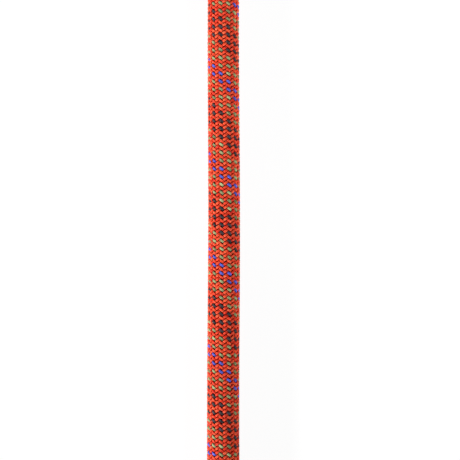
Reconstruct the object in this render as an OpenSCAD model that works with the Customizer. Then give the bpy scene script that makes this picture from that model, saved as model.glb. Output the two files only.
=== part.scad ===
// Kernmantle climbing rope: a straight stretch with a heat-sealed, sleeved end at each side.
// It lies along Y on the plane z = 0, with its middle over the origin. All sizes are in millimetres.

/* [Rope] */
// Diameter over the braided sheath
rope_d = 10; // [9:0.1:11]
// Length of sheath and core between the two heat seals
rope_l = 220; // [160:1:400]
// How deep the underside is pressed flat where the rope lies
flat_depth = 0.5; // [0.3:0.05:0.8]

/* [Sheath] */
// Thickness of the braided wall, which is two yarns
sheath_wall = 1.3; // [1:0.05:1.6]

/* [Core] */
// Free space round each core strand
strand_gap = 0.04; // [0.02:0.01:0.1]
// Depth of the grooves between a strand's three plies
ply_groove = 0.4; // [0.2:0.02:0.5]
// Length of rope in which a strand's plies make one turn
ply_lay = 24; // [20:1:40]

/* [Marker tape] */
// Width of the tape that lies between core and sheath
tape_w = 1.5; // [1:0.1:1.7]
// Thickness of the tape
tape_t = 0.1; // [0.06:0.01:0.12]

/* [Ends] */
// Length of each shrink sleeve
sleeve_l = 28; // [15:1:40]
// Wall of each shrink sleeve
sleeve_wall = 0.4; // [0.3:0.05:0.45]
// How far a sleeve presses the sheath in all round
sleeve_squeeze = 0.2; // [0.1:0.05:0.25]
// Thickness of the fused nylon that seals an end, at its rim
seal_t = 1.2; // [0.8:0.1:2]
// Radius of the rim of a seal
seal_rim_r = 0.8; // [0.4:0.1:1]
// How far the middle of a seal stands above its rim
seal_dome = 0.5; // [0.2:0.1:1]

/* [Hidden] */
$fn = 96;
inner_strands = 3;
outer_strands = 9;
plies = 3;
slices_per_turn = 6; // of a strand's twist
points_per_ply = 3; // round a strand's outline
dome_steps = 8; // along a seal's dome
rim_steps = 6; // along a seal's rim

rope_r = rope_d / 2;
bore_r = rope_r - sheath_wall;
sleeve_stand = sleeve_wall - sleeve_squeeze; // of a sleeve over the sheath beside it
axis_h = rope_r - flat_depth + sleeve_stand; // the sleeves touch the ground

// Two rings of equal strands fill the bore: the inner ones lie round the axis, the outer ones round them.
inner_pitch = 1 / (2 * sin(180 / inner_strands)); // ring radius for strands one unit apart
strand_d = (bore_r - strand_gap * (inner_pitch + 2)) / (inner_pitch + 1.5);
inner_ring_r = inner_pitch * (strand_d + strand_gap);
outer_ring_r = inner_ring_r + strand_d + strand_gap;
first_outer_angle = 90 / outer_strands;

sleeve_mid = (rope_l - sleeve_l) / 2; // along Y, from the middle of the rope
bare_l = rope_l - 2 * sleeve_l; // between the sleeves
squeezed_r = rope_r - sleeve_squeeze; // of the sheath in a sleeve, and of the seal

white = "ivory";

function inner_name(i) = str("inner_core_strand_", i);
function outer_name(i) = str("outer_core_strand_", i);

// Stands a flat outline up in the XZ plane round the rope's axis and draws it out along Y.
module along_rope(length) {
    translate([0, 0, axis_h]) rotate([90, 0, 0]) linear_extrude(height = length, center = true) children();
}

// The rope's outline, round above and pressed flat below, made larger by grow all round.
module rope_outline(grow = 0) {
    r = rope_r + grow;
    intersection() {
        circle(r);
        translate([-2 * r, -r + flat_depth]) square([4 * r, 3 * r]);
    }
}

module sheath() {
    color("orangered") difference() {
        union() {
            along_rope(bare_l) rope_outline();
            along_rope(rope_l) rope_outline(-sleeve_squeeze);
        }
        along_rope(2 * rope_l) circle(bore_r);
    }
}

// A strand's outline: as many round lobes as it has plies, with grooves between them.
function strand_outline() = [
    for (k = [0:plies * points_per_ply - 1])
        let (a = 360 * k / (plies * points_per_ply),
             r = strand_d / 2 - ply_groove * (1 - cos(plies * a)) / 2)
            [r * cos(a), r * sin(a)]
];

// Neighbours are twisted opposite ways, so that the rope has no twist of its own.
module core_strand(ring_r, angle, hand) {
    turns = rope_l / ply_lay;
    color(white) translate([0, 0, axis_h]) rotate([90, 0, 0])
        rotate(angle) translate([ring_r, 0])
            linear_extrude(height = rope_l, center = true, twist = hand * 360 * turns,
                           slices = ceil(turns * slices_per_turn), segments = 0)
                polygon(strand_outline());
}

module inner_core_strand(i) {
    core_strand(inner_ring_r, 360 * i / inner_strands, i % 2 == 0 ? 1 : -1);
}

module outer_core_strand(i) {
    core_strand(outer_ring_r, first_outer_angle + 360 * i / outer_strands, i % 2 == 0 ? 1 : -1);
}

// Lies against the sheath's inner face, over the groove between two outer strands.
module marker_tape() {
    mid_angle = first_outer_angle + 180 / outer_strands;
    half_angle = tape_w / bore_r * 90 / PI;
    color("gold") along_rope(rope_l) intersection() {
        difference() {
            circle(bore_r);
            circle(bore_r - tape_t);
        }
        polygon([
            [0, 0],
            2 * bore_r * [cos(mid_angle - half_angle), sin(mid_angle - half_angle)],
            2 * bore_r * [cos(mid_angle + half_angle), sin(mid_angle + half_angle)]
        ]);
    }
}

// side is -1 for the near end and 1 for the far end.
module end_sleeve(side) {
    color("dimgray") translate([0, side * sleeve_mid, 0]) along_rope(sleeve_l) difference() {
        rope_outline(sleeve_stand);
        rope_outline(-sleeve_squeeze);
    }
}

// Half of a seal's section: a flat back, a rounded rim and a low dome.
function seal_section() =
    let (dome_r = squeezed_r - seal_rim_r)
    concat(
        [[0, 0], [squeezed_r, 0]],
        [for (k = [0:rim_steps])
            let (a = 90 * k / rim_steps)
                [dome_r + seal_rim_r * cos(a), seal_t - seal_rim_r + seal_rim_r * sin(a)]],
        [for (k = [1:dome_steps])
            let (x = dome_r * (1 - k / dome_steps))
                [x, seal_t + seal_dome * (1 - pow(x / dome_r, 2))]]
    );

module end_seal(side) {
    color("wheat") intersection() {
        translate([0, side * rope_l / 2, axis_h]) rotate([-side * 90, 0, 0]) rotate_extrude() polygon(seal_section());
        translate([0, side * rope_l / 2, 0]) along_rope(4 * (seal_t + seal_dome)) rope_outline(-sleeve_squeeze);
    }
}

sheath();
for (i = [1:inner_strands])
    inner_core_strand(i);
for (i = [1:outer_strands])
    outer_core_strand(i);
marker_tape();
end_sleeve(-1);  // near_end_sleeve
end_sleeve(1);  // far_end_sleeve
end_seal(-1);  // near_end_seal
end_seal(1);  // far_end_seal
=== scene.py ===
import math

import bpy
import numpy as np
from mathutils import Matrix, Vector, noise


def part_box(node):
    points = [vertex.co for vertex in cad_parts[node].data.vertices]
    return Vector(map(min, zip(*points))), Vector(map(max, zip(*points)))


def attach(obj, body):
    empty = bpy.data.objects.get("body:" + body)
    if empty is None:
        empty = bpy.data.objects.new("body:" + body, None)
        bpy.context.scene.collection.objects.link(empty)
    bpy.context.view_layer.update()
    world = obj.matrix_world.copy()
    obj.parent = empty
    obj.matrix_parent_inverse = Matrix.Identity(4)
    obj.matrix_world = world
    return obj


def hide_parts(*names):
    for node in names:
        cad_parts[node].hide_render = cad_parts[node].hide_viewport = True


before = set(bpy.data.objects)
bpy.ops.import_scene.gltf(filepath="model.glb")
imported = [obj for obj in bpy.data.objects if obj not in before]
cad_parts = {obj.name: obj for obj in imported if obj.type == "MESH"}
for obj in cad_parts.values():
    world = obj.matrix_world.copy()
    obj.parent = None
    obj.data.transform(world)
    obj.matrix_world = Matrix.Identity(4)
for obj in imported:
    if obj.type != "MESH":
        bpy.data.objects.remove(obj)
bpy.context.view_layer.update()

mm = 0.001    # lengths in the dictionaries below are in millimetres
smoothAngle = math.radians(50)    # up to which turned and extruded faces are shaded as one
bpy.ops.object.select_all(action="DESELECT")
bpy.context.scene.view_settings.view_transform = "Standard"


def inMillimetres(corners):
    return [corner / mm for corner in corners]


sheathLow, sheathHigh = inMillimetres(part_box("sheath"))
sleeveLow, sleeveHigh = inMillimetres(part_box("far_end_sleeve"))
sealHigh = inMillimetres(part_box("far_end_seal"))[1]

rope = {
    "radius": sheathHigh.x,
    "axisHeight": sheathHigh.z - sheathHigh.x,
    "sheathWall": 1.3,                       # outside the core
    "half": sheathHigh.y,                    # from the middle to a seal
    "underside": sheathLow.z,                # height of the bare rope's flat underside
    "flatFrom": 3.8,                         # under the axis; below it the sheath is pressed flatter
    "squeeze": sheathHigh.x - sealHigh.x,    # by which a sleeve presses the sheath in
    "sleeveFrom": sleeveLow.y,
    "neck": 2.2,                             # length over which the sheath narrows into a sleeve
    "wave": 0.14,                            # by which the bare rope lies to one side and the other
    "waveHalf": 60.0,                        # length of half a wave
    "waveMiddle": 4.0,
    "waveFadesFrom": 12.0,                   # before a sleeve
    "waveFadesTo": 1.0,
    "linePoints": 45,                        # of the middle line that the cord follows
}

view = {
    "focal": 78.33,
    "sensor": 36.0,
    "distance": 312.4,    # from the rope's axis
    "tilt": 0.0793,       # radians, so that the near end is closer
    "aside": 1.972,       # to the right of the rope
}

cameraData = bpy.data.cameras.new("camera")
cameraData.lens = view["focal"]
cameraData.sensor_width = view["sensor"]
camera = bpy.data.objects.new("camera", cameraData)
camera.location = (
    view["aside"] * mm,
    -view["distance"] * math.sin(view["tilt"]) * mm,
    (rope["axisHeight"] + view["distance"] * math.cos(view["tilt"])) * mm,
)
camera.rotation_euler = (view["tilt"], 0, 0)
bpy.context.scene.collection.objects.link(camera)
bpy.context.scene.camera = camera
print("camera placed")


def startMaterial(name):
    material = bpy.data.materials.new(name)
    material.use_nodes = True
    return material, material.node_tree, material.node_tree.nodes["Principled BSDF"]


def setSockets(node, values):
    for name, value in values.items():
        node.inputs[name].default_value = value


def addNoise(tree, source, scale, detail=2.0, roughness=0.5):
    texture = tree.nodes.new("ShaderNodeTexNoise")
    setSockets(texture, {"Scale": scale, "Detail": detail, "Roughness": roughness})
    tree.links.new(source, texture.inputs["Vector"])
    return texture.outputs["Fac"]


def addMapping(tree, source, scale, turn=0.0):
    mapping = tree.nodes.new("ShaderNodeMapping")
    setSockets(mapping, {"Scale": scale, "Rotation": (0, 0, turn)})
    tree.links.new(source, mapping.inputs["Vector"])
    return mapping.outputs["Vector"]


def addAttribute(tree, name):
    attribute = tree.nodes.new("ShaderNodeAttribute")
    attribute.attribute_name = name
    return attribute.outputs["Fac"]


# From the first colour to the second, between two levels of the source
def addRamp(tree, source, levels, first, second):
    ramp = tree.nodes.new("ShaderNodeValToRGB")
    for element, level, colour in zip(ramp.color_ramp.elements, levels, (first, second)):
        element.position = level
        element.color = (*colour, 1)
    tree.links.new(source, ramp.inputs["Fac"])
    return ramp.outputs["Color"]


def addMath(tree, operation, *values):
    step = tree.nodes.new("ShaderNodeMath")
    step.operation = operation
    for socket, value in zip(step.inputs, values):
        if isinstance(value, (int, float)):
            socket.default_value = value
        else:
            tree.links.new(value, socket)
    return step.outputs[0]


def addMix(tree, factor, first, second):
    mix = tree.nodes.new("ShaderNodeMix")
    mix.data_type = "RGBA"
    tree.links.new(factor, mix.inputs["Factor"])
    for name, value in (("A", first), ("B", second)):
        if isinstance(value, tuple):
            mix.inputs[name].default_value = (*value, 1)
        else:
            tree.links.new(value, mix.inputs[name])
    return mix.outputs["Result"]


def addBump(tree, shader, height, strength, depth):
    bump = tree.nodes.new("ShaderNodeBump")
    setSockets(bump, {"Strength": strength, "Distance": depth * mm})
    tree.links.new(height, bump.inputs["Height"])
    tree.links.new(bump.outputs["Normal"], shader.inputs["Normal"])


# What all nylon yarns share; a noise is its scale, detail and roughness
fibre = {
    "sheenRoughness": 0.4,
    "glow": (1.0, 0.1, 0.05),         # how far red, green and blue light spread in the nylon
    "glowDepth": 0.6,
    "filamentScale": (0.45, 1.1, 1),
    "filamentTurn": 0.12,             # radians
    "filaments": (1.6, 5, 0.65),
    "stitchScale": (0.5, 0.05, 1),    # of the dye and dirt that change from stitch to stitch
    "stitchShare": 0.55,              # of these in the shade; the filaments have the rest
    "levels": (0.35, 0.65),
    "bumpDepth": 0.06,
}


# Bundles of fine filaments, on the yarn's own UV map: u is mm along it, v counts points round it
def yarnMaterial(name, look):
    material, tree, shader = startMaterial(name)
    setSockets(shader, {
        "Roughness": look["roughness"],
        "Specular IOR Level": look["specular"],
        "Sheen Weight": look["sheen"],
        "Sheen Roughness": fibre["sheenRoughness"],
        "Sheen Tint": (*look["sheenTint"], 1),
        "Subsurface Weight": look["through"],
        "Subsurface Radius": fibre["glow"],
        "Subsurface Scale": fibre["glowDepth"] * mm,
    })
    uv = tree.nodes.new("ShaderNodeUVMap")
    uv.uv_map = "yarn"
    lengthwise = addMapping(tree, uv.outputs["UV"], fibre["filamentScale"], fibre["filamentTurn"])
    filaments = addNoise(tree, lengthwise, *fibre["filaments"])
    stitches = addNoise(tree, addMapping(tree, uv.outputs["UV"], fibre["stitchScale"]), 1.0)
    rest = addMath(tree, "MULTIPLY", filaments, 1 - fibre["stitchShare"])
    both = addMath(tree, "MULTIPLY_ADD", stitches, fibre["stitchShare"], rest)
    shade = addRamp(tree, both, fibre["levels"], look["dark"], look["light"])

    # painted shade: between the yarns the colour darkens towards the painted shade colour, by the
    # depth under the surface
    sunk = tree.nodes.new("ShaderNodeMapRange")
    sunk.interpolation_type = "SMOOTHSTEP"
    setSockets(sunk, {"From Min": look["deepFrom"], "From Max": look["deepTo"]})
    tree.links.new(addAttribute(tree, "depth"), sunk.inputs["Value"])
    colour = addMix(tree, sunk.outputs["Result"], shade, look["deep"])
    tree.links.new(colour, shader.inputs["Base Color"])
    addBump(tree, shader, filaments, look["bump"], fibre["bumpDepth"])
    return material


# Each yarn's last colour is painted shade, which the material turns to in the gaps between the yarns;
# on the coloured yarns it is reddened as if by light from the red yarns around them.
yarnLooks = {
    "red": {
        "dark": (0.60, 0.006, 0.003), "light": (1.0, 0.158, 0.061), "deep": (0.34, 0.002, 0.001),
        "roughness": 0.55, "sheen": 0.02, "sheenTint": (1.0, 0.62, 0.45), "through": 0.5,
    },
    "green": {
        "dark": (0.11, 0.13, 0.05), "light": (0.45, 0.55, 0.275), "deep": (0.12, 0.030, 0.012),
        "roughness": 0.5, "sheen": 0.15, "sheenTint": (0.8, 1.0, 0.75), "through": 0.0,
    },
    "black": {
        "dark": (0.010, 0.010, 0.013), "light": (0.070, 0.065, 0.074), "deep": (0.035, 0.005, 0.003),
        "roughness": 0.45, "sheen": 0.1, "sheenTint": (0.7, 0.75, 0.9), "through": 0.0,
    },
    "blue": {
        "dark": (0.05, 0.070, 0.40), "light": (0.14, 0.180, 0.82), "deep": (0.06, 0.010, 0.045),
        "roughness": 0.5, "sheen": 0.15, "sheenTint": (0.7, 0.75, 1.0), "through": 0.0,
    },
}
# Finish of the sheath's yarns, with the range of depth over which their painted shade comes in
sheathFinishAndPaintedShade = {"bump": 1.0, "specular": 0.16, "deepFrom": 0.18, "deepTo": 0.68}
yarnMaterials = {
    colour: yarnMaterial(colour + "Yarn", {**look, **sheathFinishAndPaintedShade})
    for colour, look in yarnLooks.items()
}
print("yarn materials made")

# Widths, leans and slides are given for right-hand yarns, red left-hand ones and coloured ones.
braid = {
    "phase": -12.76,         # degrees, of the lattice about the rope
    "start": 71.30,          # of the lattice along the rope
    "lead": 29.89,           # length in which a yarn goes round once
    "yarnsPerHand": 24,
    "twist": -0.0258,        # degrees per mm, as both hands turn together
    "skew": 0.185,           # by which rows of stitches lean
    "middleRadius": 4.18,
    "crimp": 0.42,           # a yarn's way out and in from the middle
    "crimpShift": 0.25,      # of the dives on the lattice, in pitches
    "sharpness": 1.1,        # of the dive between over and under
    "overWidth": {"right": 0.84, "left": 0.79, "coloured": 0.80},
    "overThickness": 0.86,
    "underWidth": 0.90,      # pressed flat against the core
    "underThickness": 0.50,
    "pinch": 0.7,            # share of the width that is left in a dive
    "pinchEase": 0.02,       # which rounds the pinch off
    "lean": {"right": 0.130, "left": 0.162, "coloured": 0.162},    # which lays the stitches flatter
    "slide": {"right": 0.10, "left": 0.0, "coloured": 0.0},        # of a stitch towards the near end
    "wander": 0.12,          # of a yarn along the rope, so that no two lie quite alike
    "wanderRate": 0.09,      # of change, for each mm of rope
    "wanderRows": 7.3,       # between two yarns in the noise
    "swell": 0.08,           # share of the width by which a yarn swells
    "swellOut": 0.03,        # by which it then stands out
    "swellRate": 0.35,
    "swellRows": 5.1,
    "swellLayer": 9,
    "pressed": 0.45,         # share of the thickness that the flat underside loses
    "pressedFrom": 0.72,     # by how squarely a yarn faces down
    "pressedTo": 0.96,
    "ringStep": 0.249,       # along the rope
    "endGap": 0.45,          # between a yarn's end and the seal
    "endsHalfGap": 0.21,     # share of the width, from the middle to one of the two ends
    "lobePoints": 7,         # round one of the two ends
    "lobeReach": 0.96,       # share of the way round it to the groove
    "rightSeeds": 50,        # the seed of the first right-hand yarn
    "mapShift": 37.0,        # between two yarns' UV maps
}
pitch = 360.0 / braid["yarnsPerHand"]    # degrees between yarns of one hand
braidEnd = rope["half"] - braid["endGap"]


# Two round ends side by side, as shares of width and height, anticlockwise from the right
def yarnOutline():
    half = []
    lobe = 0.5 - braid["endsHalfGap"]
    reach = braid["lobeReach"] * math.degrees(math.acos(-braid["endsHalfGap"] / lobe))
    for k in range(braid["lobePoints"]):
        a = math.radians(-reach + 2 * reach * k / (braid["lobePoints"] - 1))
        half.append((braid["endsHalfGap"] + lobe * math.cos(a), 0.5 * math.sin(a)))
    return np.array(half + [(-x, -y) for x, y in half])


def smoothStep(low, high, x):
    t = np.clip((x - low) / (high - low), 0, 1)
    return t * t * (3 - 2 * t)


# Smooth noise from about -1 to 1 along xs and zs; row picks another pattern
def noiseAt(xs, row, zs):
    return np.array([noise.noise(Vector((x, row, z))) for x, z in np.broadcast(xs, zs)])


# The rope lies almost straight: how far its middle line is to the side
def sideways(along):
    fadeFrom = rope["sleeveFrom"] - rope["waveFadesFrom"]
    fadeTo = rope["sleeveFrom"] - rope["waveFadesTo"]
    free = 1 - smoothStep(fadeFrom, fadeTo, np.abs(along))
    return rope["wave"] * np.cos(np.pi * (along - rope["waveMiddle"]) / rope["waveHalf"]) * free


# How far a right-hand yarn stands out, from -1 to 1, by its angle on the lattice.
# A left-hand yarn does the opposite.
def crimpAt(angle):
    u = -np.cos(np.pi * (angle / pitch - braid["crimpShift"]))
    return np.tanh(braid["sharpness"] * u) / math.tanh(braid["sharpness"])


# Points at an angle in radians from the top of the rope, with the neck and the flat underside
def placeOnRope(angle, along, radius):
    inSleeve = smoothStep(rope["sleeveFrom"] - rope["neck"], rope["sleeveFrom"], np.abs(along))
    radius = radius - rope["squeeze"] * inSleeve * radius / rope["radius"]
    x = radius * np.sin(angle)
    z = radius * np.cos(angle)
    below = np.maximum(-z - rope["flatFrom"], 0)
    room = rope["axisHeight"] - rope["underside"] - rope["flatFrom"]
    z = np.where(below > 0, -rope["flatFrom"] - room * (1 - np.exp(-below / room)), z)
    return np.stack([x + sideways(along), along, z + rope["axisHeight"]], -1)


# A tube's points, ring by ring; the outline's height turns to the outward directions
def tubePoints(centres, outward, widths, heights, outline):
    tangent = np.gradient(centres, axis=0)
    tangent /= np.linalg.norm(tangent, axis=1, keepdims=True)
    normal = outward - (outward * tangent).sum(1, keepdims=True) * tangent
    normal /= np.linalg.norm(normal, axis=1, keepdims=True)
    across = np.cross(normal, tangent)
    return (
        centres[:, None]
        + across[:, None] * (outline[None, :, :1] * widths[:, None, None])
        + normal[:, None] * (outline[None, :, 1:] * heights[:, None, None])
    ).reshape(-1, 3)


# A tube's faces, closed at both ends, and a UV for each of their corners
def tubeFaces(centres, sides, first, shift):
    rings = len(centres)
    ring, side = np.meshgrid(np.arange(rings - 1), np.arange(sides), indexing="ij")
    here, there = ring * sides, (ring + 1) * sides
    nextSide = (side + 1) % sides
    corners = np.stack([here + side, here + nextSide, there + nextSide, there + side], -1)
    faces = (corners.reshape(-1, 4) + first).tolist()
    faces.append((first + np.arange(sides)[::-1]).tolist())
    faces.append((first + (rings - 1) * sides + np.arange(sides)).tolist())

    steps = np.linalg.norm(np.diff(centres, axis=0), axis=1)
    length = np.concatenate([[0], np.cumsum(steps)])
    u = np.stack([length[ring], length[ring], length[ring + 1], length[ring + 1]], -1)
    v = np.stack([side, side + 1, side + 1, side], -1)
    ends = np.tile([float(shift), 0.0], (2 * sides, 1))
    return faces, np.concatenate([np.stack([u + shift, v], -1).reshape(-1, 2), ends])


# One mesh of tubes. Each tube is centres, outward directions, widths, heights and a UV shift.
# The depth attribute is measured from the radius top, about the line at x, z of axis; the materials
# paint shade by it.
def makeTubes(name, tubes, outline, material, axis, top):
    points, faces, uvs, first = [], [], [], 0
    for centres, outward, widths, heights, shift in tubes:
        points.append(tubePoints(centres, outward, widths, heights, outline))
        newFaces, newUvs = tubeFaces(centres, len(outline), first, shift)
        faces += newFaces
        uvs.append(newUvs)
        first += len(points[-1])
    points = np.concatenate(points)
    uvs = np.concatenate(uvs).astype(np.float32)
    depth = top - np.hypot(points[:, 0] - axis[0] - sideways(points[:, 1]), points[:, 2] - axis[1])

    mesh = bpy.data.meshes.new(name)
    mesh.from_pydata((points * mm).tolist(), [], faces)
    mesh.uv_layers.new(name="yarn").data.foreach_set("uv", uvs.ravel())
    depths = mesh.attributes.new("depth", "FLOAT", "POINT")
    depths.data.foreach_set("value", depth.astype(np.float32))
    mesh.polygons.foreach_set("use_smooth", [True] * len(mesh.polygons))
    mesh.materials.append(material)
    mesh.update()
    piece = bpy.data.objects.new(name, mesh)
    bpy.context.scene.collection.objects.link(piece)
    return piece


def sheathYarn(hand, kind, number, seed):
    along = np.arange(-braidEnd, braidEnd, braid["ringStep"])
    angle = hand * 360.0 / braid["lead"] * (along - braid["start"]) + number * pitch
    crimp = hand * crimpAt(angle)
    over = 0.5 + 0.5 * crimp
    lean = braid["lean"][kind] * np.sin(np.pi * (angle / pitch - braid["crimpShift"]))
    angle = np.radians(angle + braid["phase"] + braid["twist"] * along)
    wander = noiseAt(along * braid["wanderRate"], seed * braid["wanderRows"], 0)
    swell = noiseAt(along * braid["swellRate"], seed * braid["swellRows"], braid["swellLayer"])

    radius = braid["middleRadius"] + braid["crimp"] * crimp + braid["swellOut"] * swell
    place = along + lean - braid["slide"][kind] * over - braid["skew"] * np.sin(angle)
    place = np.clip(place + braid["wander"] * wander, -braidEnd, braidEnd)
    centres = placeOnRope(angle, place, radius)
    outward = np.stack([np.sin(angle), np.zeros_like(angle), np.cos(angle)], -1)

    lifted = np.sqrt(crimp ** 2 + braid["pinchEase"])
    widths = braid["underWidth"] + (braid["overWidth"][kind] - braid["underWidth"]) * over
    widths = widths * (braid["pinch"] + (1 - braid["pinch"]) * lifted) * (1 + braid["swell"] * swell)
    heights = braid["underThickness"] + (braid["overThickness"] - braid["underThickness"]) * over
    down = smoothStep(braid["pressedFrom"], braid["pressedTo"], -outward[:, 2])
    heights = heights * (1 - braid["pressed"] * down)
    return centres, outward, widths, heights, seed * braid["mapShift"]


# Every second left-hand yarn is red, and these are the colours of those between.
leftColours = ["green", "green", "blue", "blue", "green", "green",
               "green", "black", "black", "black", "black", "green"]
yarnGroups = {
    "sheathRedRight1": ("red", 1, range(0, 8)),
    "sheathRedRight2": ("red", 1, range(8, 16)),
    "sheathRedRight3": ("red", 1, range(16, 24)),
    "sheathRedLeft1": ("red", -1, range(1, 13, 2)),
    "sheathRedLeft2": ("red", -1, range(13, 25, 2)),
}
for colour in ("green", "black", "blue"):
    numbers = [2 * n for n, c in enumerate(leftColours) if c == colour]
    yarnGroups["sheath" + colour.capitalize()] = (colour, -1, numbers)

for name, (colour, hand, numbers) in yarnGroups.items():
    kind = "right" if hand > 0 else "left" if colour == "red" else "coloured"
    firstSeed = braid["rightSeeds"] if hand > 0 else 0
    tubes = [sheathYarn(hand, kind, n, firstSeed + n) for n in numbers]
    axis = (0, rope["axisHeight"])
    piece = makeTubes(name, tubes, yarnOutline(), yarnMaterials[colour], axis, rope["radius"])
    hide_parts("sheath")
    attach(piece, "root")

print("sheath braided")

core = {
    # The core's last colour and its two depths are painted shade, darkening a strand below its surface
    "dark": (0.60, 0.57, 0.50), "light": (0.84, 0.82, 0.76), "deep": (0.36, 0.33, 0.27),
    "roughness": 0.5, "sheen": 0.15, "sheenTint": (1.0, 0.98, 0.92), "through": 0.0,
    "bump": 0.8, "specular": 0.3,
    "deepFrom": 0.1, "deepTo": 0.42,    # under a strand's surface
    "lay": 24.0,             # length in which a strand's plies make one turn
    "groove": 0.4,           # depth between the plies
    "plies": 3,
    "pointsPerPly": 8,
    "ringStep": 0.8,
    "lastRing": 0.01,        # room past a strand's end, so that a ring lies on the end
    "mapShift": 29.0,        # between two strands' UV maps
    "inner": 3,
    "outer": 9,
    "firstAngle": {"inner": 0.0, "outer": 10.0},
}


# Round plies with sharp grooves between them, as shares of a strand's diameter
def strandOutline(diameter):
    top, groove = 0.5, 0.5 - core["groove"] / diameter
    halfPly = math.pi / core["plies"]
    between = math.cos(halfPly)
    shift = (top ** 2 - groove ** 2) / (2 * (top - groove * between))    # of a ply's middle
    ply = top - shift
    count = core["plies"] * core["pointsPerPly"]
    outline = []
    for k in range(count):
        a = 2 * math.pi * k / count
        off = (a + halfPly) % (2 * halfPly) - halfPly
        reach = shift * math.cos(off) + math.sqrt(ply ** 2 - (shift * math.sin(off)) ** 2)
        outline.append((-reach * math.sin(a), reach * math.cos(a)))
    return np.array(outline)


coreMaterial = yarnMaterial("coreNylon", core)
strandPlaces = []    # x, height and diameter of each
for ringName in ("inner", "outer"):
    for i in range(1, core[ringName] + 1):
        node = ringName + "_core_strand_" + str(i)
        low, high = inMillimetres(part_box(node))
        middle, diameter = (low + high) / 2, high.x - low.x
        along = np.arange(low.y, high.y + core["lastRing"], core["ringStep"])
        hand = 1 if i % 2 == 0 else -1    # neighbours are twisted opposite ways
        start = core["firstAngle"][ringName] + 360.0 / core[ringName] * i
        turn = np.radians(start - hand * 360.0 * (high.y - along) / core["lay"])
        centres = np.stack([middle.x + sideways(along), along, np.full_like(along, middle.z)], -1)
        outward = np.stack([np.cos(turn), np.zeros_like(turn), np.sin(turn)], -1)
        size = np.full_like(along, diameter)
        strand = [(centres, outward, size, size, i * core["mapShift"])]
        piece = makeTubes(ringName + "CoreStrand" + str(i), strand, strandOutline(diameter),
                          coreMaterial, (middle.x, middle.z), diameter / 2)
        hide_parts(node)
        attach(piece, "root")
        strandPlaces.append((middle.x, middle.z, diameter))
print("core strands laid")

tape = {
    "film": (0.80, 0.62, 0.10),
    "worn": (0.62, 0.46, 0.08),
    "roughness": 0.35,
    "grain": (900, 3, 0.6),
    "levels": (0.35, 0.6),
    "bump": 0.3,
    "bumpDepth": 0.02,
}
tapeMaterial, tree, shader = startMaterial("markerTape")
shader.inputs["Roughness"].default_value = tape["roughness"]
place = tree.nodes.new("ShaderNodeTexCoord").outputs["Object"]
grain = addNoise(tree, place, *tape["grain"])
colour = addRamp(tree, grain, tape["levels"], tape["worn"], tape["film"])
tree.links.new(colour, shader.inputs["Base Color"])
addBump(tree, shader, grain, tape["bump"], tape["bumpDepth"])
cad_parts["marker_tape"].material_slots[0].material = tapeMaterial
print("marker tape finished")

sleeve = {
    "wall": sleeveHigh.x - rope["radius"] + rope["squeeze"],
    "relief": 0.13,          # depth to which the film sinks between the stitches
    "stitchCrown": 0.7,      # power by which a stitch falls off across; less is flatter
    "sides": 144,
    "ringStep": 0.35,
    "edge": 0.1,             # rounding of its rims
    "edgeSteps": 3,
    "edgeAngle": 60,         # degrees from which an edge is rounded
    "flatFrom": 4.0,         # under the axis
    "film": (0.012, 0.012, 0.014),
    "worn": (0.032, 0.033, 0.037),
    "roughness": 0.62,
    "specular": 0.25,
    "scuffs": (260, 4, 0.65),
    "levels": (0.45, 0.75),
    "grainScale": 1500,
    "bump": 0.25,
    "bumpDepth": 0.03,
}


# Height of the braid's stitches under the film, from 0 between them to 1 on top
def stitchHeight(angle, along):
    lattice = np.degrees(angle) - braid["phase"] - braid["twist"] * along
    travel = 360.0 / braid["lead"] * (along + braid["skew"] * np.sin(angle) - braid["start"])
    heights = []
    for hand in (1, -1):
        number = (lattice - hand * travel) / pitch
        across = np.cos(np.pi * (number - np.round(number)))
        over = 0.5 + 0.5 * hand * crimpAt(lattice)
        heights.append(across ** sleeve["stitchCrown"] * over)
    return np.maximum(*heights)


def movePoints(piece, x, y, z):
    piece.data.vertices.foreach_set("co", (np.stack([x, y, z], -1) * mm).ravel())
    piece.data.update()


def faceOutwards():
    bpy.ops.object.mode_set(mode="EDIT")
    bpy.ops.mesh.select_all(action="SELECT")
    bpy.ops.mesh.normals_make_consistent(inside=False)
    bpy.ops.object.mode_set(mode="OBJECT")


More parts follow.
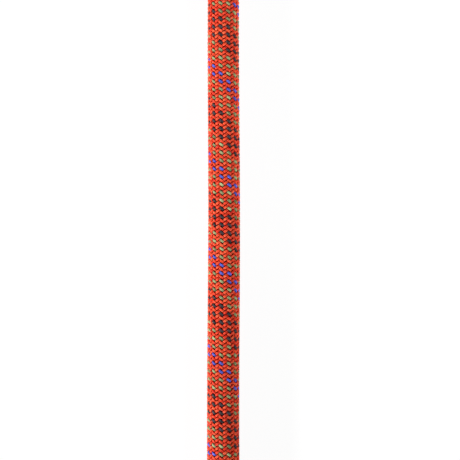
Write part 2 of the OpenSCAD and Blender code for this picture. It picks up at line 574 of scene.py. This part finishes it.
def makeSleeve(name, node):
    low, high = inMillimetres(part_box(node))
    steps = round((high.y - low.y) / sleeve["ringStep"])
    step = {"value": (0, (high.y - low.y) / steps * mm, 0)}
    bpy.ops.mesh.primitive_circle_add(
        vertices=sleeve["sides"], radius=high.x * mm, fill_type="NOTHING",
        location=(0, low.y * mm, rope["axisHeight"] * mm), rotation=(math.pi / 2, 0, 0),
    )
    piece = bpy.context.object
    piece.name = name
    bpy.ops.object.transform_apply(location=True, rotation=True, scale=True)
    bpy.ops.object.mode_set(mode="EDIT")
    bpy.ops.mesh.select_all(action="SELECT")
    for _ in range(steps):
        bpy.ops.mesh.extrude_region_move(TRANSFORM_OT_translate=step)
    faceOutwards()

    # the film shrinks onto the stitches, and lies flat below
    points = np.array([v.co for v in piece.data.vertices]) / mm
    angle = np.arctan2(points[:, 0], points[:, 2] - rope["axisHeight"])
    radius = high.x - sleeve["relief"] * (1 - stitchHeight(angle, points[:, 1]))
    x, z = radius * np.sin(angle), radius * np.cos(angle)
    below = np.maximum(-z - sleeve["flatFrom"], 0)
    room = rope["axisHeight"] - low.z - sleeve["flatFrom"]
    most = high.x - sleeve["flatFrom"]
    sunk = -sleeve["flatFrom"] - room * (1 - np.exp(-below / room)) / (1 - math.exp(-most / room))
    movePoints(piece, x, points[:, 1], np.where(below > 0, sunk, z) + rope["axisHeight"])

    wall = piece.modifiers.new("wall", "SOLIDIFY")
    wall.thickness = sleeve["wall"] * mm
    wall.offset = -1    # inwards
    rims = piece.modifiers.new("rims", "BEVEL")
    rims.width = sleeve["edge"] * mm
    rims.segments = sleeve["edgeSteps"]
    rims.limit_method = "ANGLE"
    rims.angle_limit = math.radians(sleeve["edgeAngle"])
    for modifier in ("wall", "rims"):
        bpy.ops.object.modifier_apply(modifier=modifier)
    bpy.ops.object.shade_smooth_by_angle(angle=smoothAngle)
    return piece


sleeveMaterial, tree, shader = startMaterial("shrinkFilm")
setSockets(shader, {"Roughness": sleeve["roughness"], "Specular IOR Level": sleeve["specular"]})
place = tree.nodes.new("ShaderNodeTexCoord").outputs["Object"]
scuffs = addNoise(tree, place, *sleeve["scuffs"])
colour = addRamp(tree, scuffs, sleeve["levels"], sleeve["film"], sleeve["worn"])
tree.links.new(colour, shader.inputs["Base Color"])
addBump(tree, shader, addNoise(tree, place, sleeve["grainScale"]), sleeve["bump"], sleeve["bumpDepth"])
for end in ("near", "far"):
    piece = makeSleeve(end + "EndSleeve", end + "_end_sleeve")
    piece.data.materials.append(sleeveMaterial)
    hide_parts(end + "_end_sleeve")
    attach(piece, "root")
    bpy.ops.object.select_all(action="DESELECT")
print("sleeves shrunk on")

seal = {
    "rim": 0.8,              # radius
    "dome": 0.5,             # height over the rim
    "segments": 120,
    "rings": 96,
    "backTo": 0.2,           # share of the rings at which the flat back ends
    "wallTo": 0.3,
    "rimTo": 0.45,           # and the dome has the rest
    "rimSteps": 6,
    "domeSteps": 12,
    "sinksFrom": 0.2,        # share of the rings from which the melt sinks in
    "sinksTo": 0.4,          # and from which it does so fully
    "lumps": 0.20,           # depth of the uneven places in the cooled melt
    "lumpRate": 0.7,         # changes for each mm
    "lumpRow": 3.0,
    "wipe": 0.12,            # depth of the ridges that the knife left
    "wipeRates": (0.35, 2.2),    # along them and across
    "wipeRow": 7.0,
    "driftRate": 0.5,        # of the noise that pulls the outlines out of true
    "driftRow": 5.0,
    "strandDrift": 0.35,
    "strands": 0.16,         # depth of the dips between the strands that it melted
    "strandReach": 0.62,     # in strand diameters, to where a dip is deepest
    "groove": 0.14,          # depth of the ring where the sheath met the core
    "grooveWidth": 0.22,
    "grooveDrift": 0.3,
    "coreRadius": rope["radius"] - rope["sheathWall"],
    "meltFrom": 0.4,         # inside the core's radius, where the sheath's melt begins
    "meltTo": 0.2,           # outside it, where it is all of the sheath
    "shrink": 0.35,          # sideways, as a share of the depth sunk
    "roughness": 0.2,
    "coat": 0.4,
    "coatRoughness": 0.12,
    "core": (0.72, 0.64, 0.47),
    "coreDark": (0.42, 0.33, 0.19),
    "coreLevels": (0.2, 0.5),
    "swirl": (420, 3, 0.6),
    "betweenDark": -0.22,    # added to the swirl between two strands
    "melt": (0.33, 0.045, 0.020),
    "meltDark": (0.055, 0.020, 0.014),
    "meltLevels": (0.38, 0.6),
    "dyes": (700, 2, 0.5),
    "bump": 0.3,
    "bumpDepth": 0.06,
}


# Radius and height of a seal's section, from the middle of its flat back to the top of its dome
def sealSection(share, radius, height):
    flat = radius - seal["rim"]
    shoulder = height - seal["dome"] - seal["rim"]
    stops = [(0.0, 0.0, 0.0), (seal["backTo"], radius, 0.0), (seal["wallTo"], radius, shoulder)]
    rimSpan, domeSpan = seal["rimTo"] - seal["wallTo"], 1 - seal["rimTo"]
    for k in range(1, seal["rimSteps"] + 1):
        t = k / seal["rimSteps"]
        a = math.pi / 2 * t
        stops.append((seal["wallTo"] + rimSpan * t, flat + seal["rim"] * math.cos(a),
                      shoulder + seal["rim"] * math.sin(a)))
    for k in range(1, seal["domeSteps"] + 1):
        t = k / seal["domeSteps"]
        stops.append((seal["rimTo"] + domeSpan * t, flat * (1 - t),
                      height - seal["dome"] * (1 - t) ** 2))
    shares, radii, heights = zip(*stops)
    return np.interp(share, shares, radii), np.interp(share, shares, heights)


# Depth of the lumps, wipe marks and outlines in a seal's melt, at x and z from the axis,
# and how much each place lies between the strands and towards the rim
def meltAt(x, z, side):
    lump = noiseAt(x * seal["lumpRate"], side * seal["lumpRow"], z * seal["lumpRate"])
    wipe = noiseAt(x * seal["wipeRates"][0], side * seal["wipeRow"], z * seal["wipeRates"][1])
    drift = noiseAt(x * seal["driftRate"], side * seal["driftRow"], z * seal["driftRate"])
    strandDrift = seal["strandDrift"] * drift
    between = np.ones_like(x)
    for strandX, strandZ, diameter in strandPlaces:
        gap = np.hypot(x - strandX + strandDrift, z + rope["axisHeight"] - strandZ - strandDrift)
        between = np.minimum(between, (gap / (seal["strandReach"] * diameter)) ** 2)
    outside = np.hypot(x, z) + seal["grooveDrift"] * drift - seal["coreRadius"]
    groove = np.exp(-(outside / seal["grooveWidth"]) ** 2)
    rimward = smoothStep(-seal["meltFrom"], seal["meltTo"], outside)
    depth = (
        seal["lumps"] * (0.5 + 0.5 * lump) + seal["wipe"] * (0.5 + 0.5 * wipe)
        + seal["strands"] * between * (1 - rimward) + seal["groove"] * groove
    )
    return depth, between, rimward


def makeSeal(name, side, node):
    low, high = inMillimetres(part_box(node))
    radius, height = high.x, high.y - low.y
    base = low.y if side > 0 else high.y
    bpy.ops.mesh.primitive_uv_sphere_add(segments=seal["segments"], ring_count=seal["rings"], radius=1)
    piece = bpy.context.object
    piece.name = name

    # the sphere's rings become the back, the wall, the rim and the dome
    points = np.array([v.co for v in piece.data.vertices])
    share = np.arccos(np.clip(-points[:, 2], -1, 1)) / math.pi
    angle = np.arctan2(points[:, 0], points[:, 1])
    reach, rise = sealSection(share, radius, height)
    x, z = reach * np.sin(angle), reach * np.cos(angle)
    depth, between, rimward = meltAt(x, z, side)
    free = smoothStep(seal["sinksFrom"], seal["sinksTo"], share)
    sink = free * depth
    narrow = 1 - seal["shrink"] * sink / radius
    z = np.maximum(z * narrow, low.z - rope["axisHeight"])
    movePoints(piece, x * narrow, base + side * (rise - sink), z + rope["axisHeight"])

    for label, values in (("between", between), ("rimward", np.maximum(rimward, 1 - free))):
        attribute = piece.data.attributes.new(label, "FLOAT", "POINT")
        attribute.data.foreach_set("value", values.astype(np.float32))
    faceOutwards()
    bpy.ops.object.shade_smooth_by_angle(angle=smoothAngle)
    return piece


# Pale melted core in the middle, and the dyes of the sheath run together at the rim
sealMaterial, tree, shader = startMaterial("fusedNylon")
setSockets(shader, {
    "Roughness": seal["roughness"],
    "Coat Weight": seal["coat"],
    "Coat Roughness": seal["coatRoughness"],
})
place = tree.nodes.new("ShaderNodeTexCoord").outputs["Object"]
swirl = addNoise(tree, place, *seal["swirl"])
cloud = addMath(tree, "MULTIPLY_ADD", addAttribute(tree, "between"), seal["betweenDark"], swirl)
coreShade = addRamp(tree, cloud, seal["coreLevels"], seal["coreDark"], seal["core"])
dyes = addNoise(tree, place, *seal["dyes"])
meltShade = addRamp(tree, dyes, seal["meltLevels"], seal["meltDark"], seal["melt"])
colour = addMix(tree, addAttribute(tree, "rimward"), coreShade, meltShade)
tree.links.new(colour, shader.inputs["Base Color"])
addBump(tree, shader, swirl, seal["bump"], seal["bumpDepth"])
for end, side in (("near", -1), ("far", 1)):
    piece = makeSeal(end + "EndSeal", side, end + "_end_seal")
    piece.data.materials.append(sealMaterial)
    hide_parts(end + "_end_seal")
    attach(piece, "root")
    bpy.ops.object.select_all(action="DESELECT")
print("ends sealed")

studio = {
    "floorSize": 6000.0,
    "paper": 0.86,
    "roughness": 0.9,
    "glow": 0.93,            # of the paper, as the camera sees it
    "ownShade": 0.1,         # share of the paper that still takes shadows there
    "ambient": 0.12,
}


def grey(level):
    return (level, level, level, 1)


# The camera and all gloss and glass see the white, and the real surface lights the object
def showWhite(tree, real, white, output):
    rays = tree.nodes.new("ShaderNodeLightPath").outputs
    seen = addMath(tree, "MAXIMUM", rays["Is Camera Ray"], rays["Is Glossy Ray"])
    seen = addMath(tree, "MAXIMUM", seen, rays["Is Transmission Ray"])
    choose = tree.nodes.new("ShaderNodeMixShader")
    tree.links.new(seen, choose.inputs["Fac"])
    tree.links.new(real, choose.inputs[1])
    tree.links.new(white, choose.inputs[2])
    tree.links.new(choose.outputs[0], tree.nodes[output].inputs["Surface"])


bpy.ops.mesh.primitive_plane_add(size=studio["floorSize"] * mm)
floor = bpy.context.object
floor.name = "floor"
floorMaterial, tree, shader = startMaterial("floorPaper")
setSockets(shader, {"Base Color": grey(studio["paper"]), "Roughness": studio["roughness"]})
faint = tree.nodes.new("ShaderNodeBsdfDiffuse")
faint.inputs["Color"].default_value = grey(studio["ownShade"])
glow = tree.nodes.new("ShaderNodeEmission")
glow.inputs["Strength"].default_value = studio["glow"]
white = tree.nodes.new("ShaderNodeAddShader")
tree.links.new(faint.outputs[0], white.inputs[0])
tree.links.new(glow.outputs[0], white.inputs[1])
showWhite(tree, shader.outputs[0], white.outputs[0], "Material Output")
floor.data.materials.append(floorMaterial)

world = bpy.data.worlds.new("studio")
bpy.context.scene.world = world
world.use_nodes = True
tree = world.node_tree
ambient = tree.nodes["Background"]
setSockets(ambient, {"Color": grey(1), "Strength": studio["ambient"]})
backdrop = tree.nodes.new("ShaderNodeBackground")
setSockets(backdrop, {"Color": grey(1), "Strength": 1.0})
showWhite(tree, ambient.outputs[0], backdrop.outputs[0], "World Output")

lights = {
    "key": {"strength": 4.2, "softness": 8, "direction": (-1.0, -0.15, 0.42)},
    "fill": {"strength": 1.3, "softness": 12, "direction": (0.9, -0.7, 0.75)},
    "fading": {              # the rest of the fill, which fades towards the near end
        "watts": 6.0,
        "radius": 63.0,
        "cone": 23.2,        # degrees
        "aim": 60.0,         # along the rope
        "distance": 600.0,
    },
}


def addLamp(data, direction, place=(0, 0, 0)):
    lamp = bpy.data.objects.new(data.name, data)
    lamp.location = place
    lamp.rotation_euler = direction.to_track_quat("Z", "Y").to_euler()
    bpy.context.scene.collection.objects.link(lamp)


for name in ("key", "fill"):
    sun = bpy.data.lights.new(name + "Light", "SUN")
    sun.energy = lights[name]["strength"]
    sun.angle = math.radians(lights[name]["softness"])
    addLamp(sun, Vector(lights[name]["direction"]))

fading = lights["fading"]
spot = bpy.data.lights.new("fadingFill", "SPOT")
spot.energy = fading["watts"]
spot.shadow_soft_size = fading["radius"] * mm
spot.spot_size = math.radians(fading["cone"])
spot.spot_blend = 1.0
direction = Vector(lights["fill"]["direction"]).normalized()
aim = Vector((0, fading["aim"], rope["axisHeight"]))
addLamp(spot, direction, (aim + direction * fading["distance"]) * mm)
print("floor and light set")
